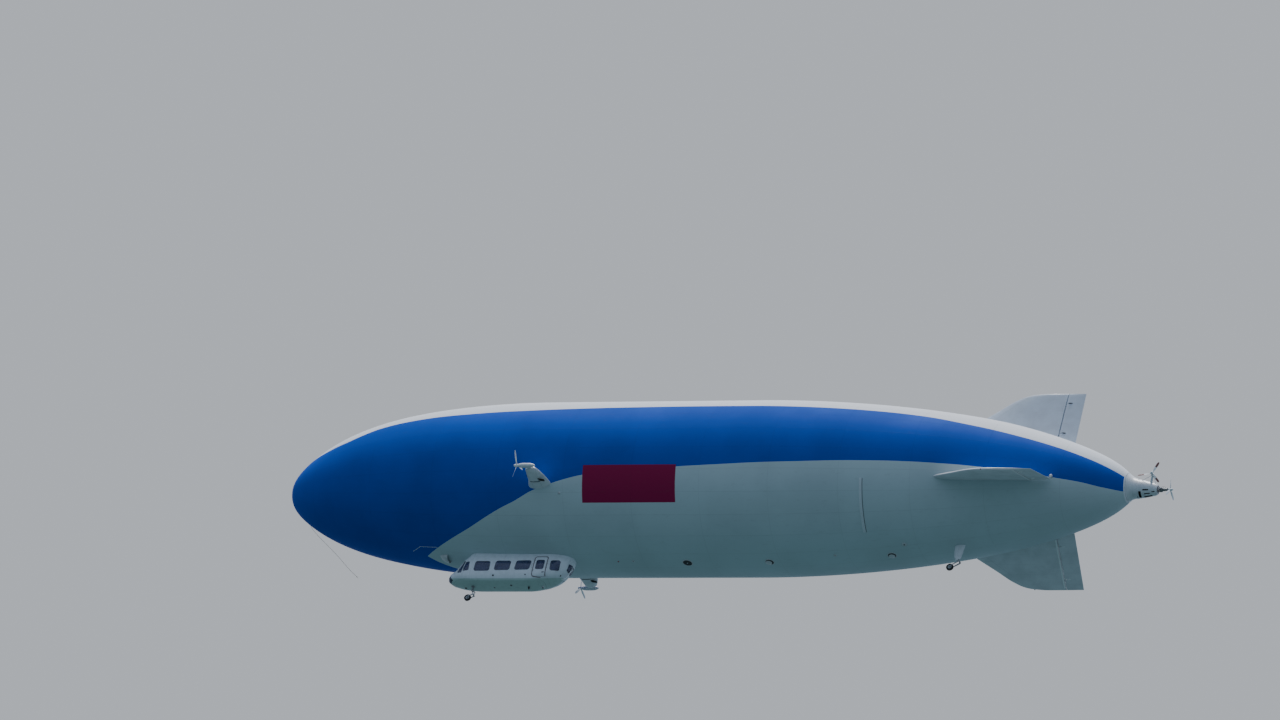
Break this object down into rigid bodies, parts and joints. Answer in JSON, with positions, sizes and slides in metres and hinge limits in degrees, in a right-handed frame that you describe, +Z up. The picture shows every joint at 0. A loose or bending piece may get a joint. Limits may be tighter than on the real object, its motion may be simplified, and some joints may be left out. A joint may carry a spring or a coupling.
{
  "type": "scale model airship",
  "caption": "Semi-rigid passenger airship, 1:2 scale model: long round hull, three tail fins, tilting side propellers, stern propellers and a windowed gondola",
  "frame": {"origin": "centre of buoyancy on the hull axis, 17.15 m aft of the nose tip", "axes": "+X aft, +Y starboard, +Z up"},
  "size_m": [37.64, 9.6027, 10.035],
  "materials": {
    "hull_fabric": "coated cloth skin, satin",
    "fin_skin": "coated cloth over ribs, satin",
    "painted_shell": "light grey paint, satin",
    "fairing_white": "white paint, gloss",
    "machined": "bare and lightly soiled",
    "engine_casting": "dull casting",
    "pane": "tinted acrylic",
    "blade_white": "white paint, gloss",
    "seat_cloth": "woven upholstery",
    "floor_cover": "short carpet",
    "panel_black": "moulded, matt",
    "tyre_rubber": "worn rubber",
    "line_fibre": "braided fibre"
  },
  "bodies": {
    "hull": {"envelope": "hull_fabric", "nose_cap": "machined", "stern_fairing": "fairing_white", "stern_engine": "engine_casting", "stern_nacelle": "fairing_white", "lateral_arm": "fairing_white", "fin_top": "fin_skin", "fin_port": "fin_skin", "fin_stbd": "fin_skin", "nacelle_stbd": "fairing_white", "nacelle_port": "fairing_white", "engine_stbd": "engine_casting", "engine_port": "engine_casting", "gondola_nose": "painted_shell", "gondola_cabin": "painted_shell", "gondola_roof": "painted_shell", "gondola_pan": "painted_shell", "gondola_tail": "painted_shell", "glass_side_stbd": "pane", "glass_side_port": "pane", "glass_nose": "pane", "glass_tail": "pane", "cabin_floor": "floor_cover", "seats_stbd": "seat_cloth", "seats_port": "seat_cloth", "pilot_seats": "seat_cloth", "instrument_panel": "panel_black", "front_gear_leg": "machined", "rear_gear_leg": "fairing_white", "nose_rope": "line_fibre"},
    "rudder_top": {"control_surface_top": "fin_skin"},
    "elevator_port": {"control_surface_port": "fin_skin"},
    "elevator_stbd": {"control_surface_stbd": "fin_skin"},
    "tilt_pod_stbd": {"pod_stbd": "fairing_white"},
    "tilt_pod_port": {"pod_port": "fairing_white"},
    "side_rotor_stbd": {"propeller_stbd": "blade_white"},
    "side_rotor_port": {"propeller_port": "blade_white"},
    "tilt_gearbox": {"stern_gearbox": "machined"},
    "pusher_rotor": {"stern_propeller": "blade_white"},
    "lateral_rotor": {"lateral_propeller": "blade_white"},
    "door_leaf_stbd": {"door_stbd": "painted_shell", "glass_door_stbd": "pane"},
    "door_leaf_port": {"door_port": "painted_shell", "glass_door_port": "pane"},
    "nose_wheel": {"front_wheel": "tyre_rubber"},
    "tail_wheel": {"rear_wheel": "tyre_rubber"}
  },
  "joints": [
    {"name": "rudder_top_hinge", "type": "hinge", "parent": "hull", "child": "rudder_top", "pos_m": [15.325, 0, 3.25], "axis": [0, 0, 1], "range_deg": [-25, 25]},
    {"name": "elevator_port_hinge", "type": "hinge", "parent": "hull", "child": "elevator_port", "pos_m": [15.375, -2.89577, -1.47547], "axis": [0, -0.891, -0.454], "range_deg": [-25, 25]},
    {"name": "elevator_stbd_hinge", "type": "hinge", "parent": "hull", "child": "elevator_stbd", "pos_m": [15.375, 2.89577, -1.47547], "axis": [0, 0.891, -0.454], "range_deg": [-25, 25]},
    {"name": "pod_stbd_tilt", "type": "hinge", "parent": "hull", "child": "tilt_pod_stbd", "pos_m": [-5.05, 4.215, -1.85], "axis": [0, 1, 0], "range_deg": [0, 120]},
    {"name": "pod_port_tilt", "type": "hinge", "parent": "hull", "child": "tilt_pod_port", "pos_m": [-5.05, -4.215, -1.85], "axis": [0, 1, 0], "range_deg": [0, 120]},
    {"name": "side_rotor_stbd_spin", "type": "hinge", "parent": "tilt_pod_stbd", "child": "side_rotor_stbd", "pos_m": [-5.54, 4.215, -1.85], "axis": [1, 0, 0], "continuous": true},
    {"name": "side_rotor_port_spin", "type": "hinge", "parent": "tilt_pod_port", "child": "side_rotor_port", "pos_m": [-5.54, -4.215, -1.85], "axis": [1, 0, 0], "continuous": true},
    {"name": "stern_tilt", "type": "hinge", "parent": "hull", "child": "tilt_gearbox", "pos_m": [19.975, 0, -0.15], "axis": [0, 1, 0], "range_deg": [0, 90]},
    {"name": "pusher_spin", "type": "hinge", "parent": "tilt_gearbox", "child": "pusher_rotor", "pos_m": [20.35, 0, -0.15], "axis": [1, 0, 0], "continuous": true},
    {"name": "lateral_spin", "type": "hinge", "parent": "hull", "child": "lateral_rotor", "pos_m": [19.675, -0.57, 0.225], "axis": [0, 1, 0], "continuous": true},
    {"name": "door_stbd_hinge", "type": "hinge", "parent": "hull", "child": "door_leaf_stbd", "pos_m": [-5.51, 0.5638, -4.1], "axis": [0, 0, 1], "range_deg": [0, 100]},
    {"name": "door_port_hinge", "type": "hinge", "parent": "hull", "child": "door_leaf_port", "pos_m": [-5.51, -0.5638, -4.1], "axis": [0, 0, -1], "range_deg": [0, 100]},
    {"name": "nose_wheel_spin", "type": "hinge", "parent": "hull", "child": "nose_wheel", "pos_m": [-8.26, 0, -5.315], "axis": [0, 1, 0], "continuous": true},
    {"name": "tail_wheel_spin", "type": "hinge", "parent": "hull", "child": "tail_wheel", "pos_m": [11.94, 0, -3.87], "axis": [0, 1, 0], "continuous": true}
  ]
}
